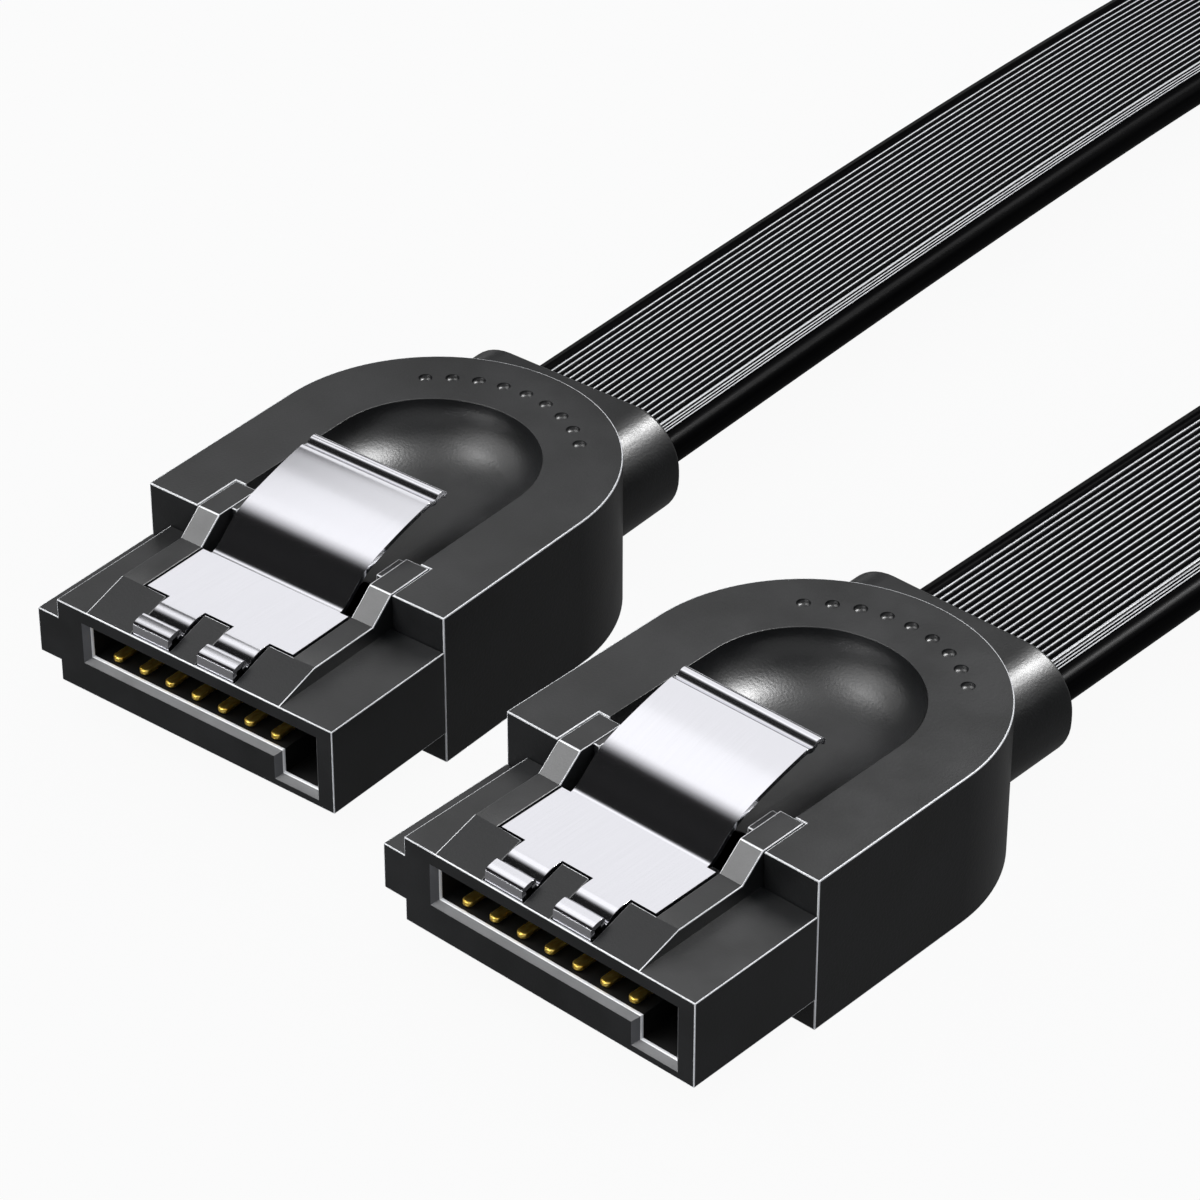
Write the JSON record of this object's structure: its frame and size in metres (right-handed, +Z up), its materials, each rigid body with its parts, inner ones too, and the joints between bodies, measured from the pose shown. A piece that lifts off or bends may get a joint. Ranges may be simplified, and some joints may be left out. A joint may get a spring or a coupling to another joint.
{
  "type": "sata data cable",
  "caption": "Flat black serial data cable with a latching plug on each end; a steel latch spring clips each plug in and a round-ended boot grips the cord.",
  "frame": {"origin": "between the two plugs on the surface they stand on", "axes": "+Z up from the surface, -Y out of the plugs' mating faces, X across the contacts"},
  "size_m": [0.0626, 0.2341, 0.0079],
  "materials": {
    "boot_pvc": "fine matte moulded",
    "nose_plastic": "satin moulded",
    "spring_steel": "polished stainless sheet",
    "contact_gold": "gold plated",
    "inner_plastic": "plain moulded",
    "jacket_pvc": "glossy with fine lengthwise ribs",
    "core_plastic": "plain insulation",
    "drain_metal": "tinned wire"
  },
  "bodies": {
    "plugs_and_cord": {"nose_housing_a": "nose_plastic", "boot_a": "boot_pvc", "contact_carrier_a": "nose_plastic", "inner_mould_a": "inner_plastic", "contact_a_1": "contact_gold", "contact_a_2": "contact_gold", "contact_a_3": "contact_gold", "contact_a_4": "contact_gold", "contact_a_5": "contact_gold", "contact_a_6": "contact_gold", "contact_a_7": "contact_gold", "nose_housing_b": "nose_plastic", "boot_b": "boot_pvc", "contact_carrier_b": "nose_plastic", "inner_mould_b": "inner_plastic", "contact_b_1": "contact_gold", "contact_b_2": "contact_gold", "contact_b_3": "contact_gold", "contact_b_4": "contact_gold", "contact_b_5": "contact_gold", "contact_b_6": "contact_gold", "contact_b_7": "contact_gold", "cord_jacket": "jacket_pvc", "drain_wire_1": "drain_metal", "drain_wire_4": "drain_metal", "drain_wire_7": "drain_metal", "signal_core_2": "core_plastic", "signal_core_3": "core_plastic", "signal_core_5": "core_plastic", "signal_core_6": "core_plastic"},
    "latch_a": {"latch_spring_a": "spring_steel"},
    "latch_b": {"latch_spring_b": "spring_steel"}
  },
  "joints": [
    {"name": "latch_a_press", "type": "hinge", "parent": "plugs_and_cord", "child": "latch_a", "pos_m": [0.00992, -0.01204, 0.00461], "axis": [-1, 0, 0], "range_deg": [0, 4.5], "stiffness_Nm_per_rad": 0.02},
    {"name": "latch_b_press", "type": "hinge", "parent": "plugs_and_cord", "child": "latch_b", "pos_m": [-0.00931, -0.00999, 0.00461], "axis": [-0.9974, -0.0715, 0], "range_deg": [0, 4.5], "stiffness_Nm_per_rad": 0.02}
  ]
}
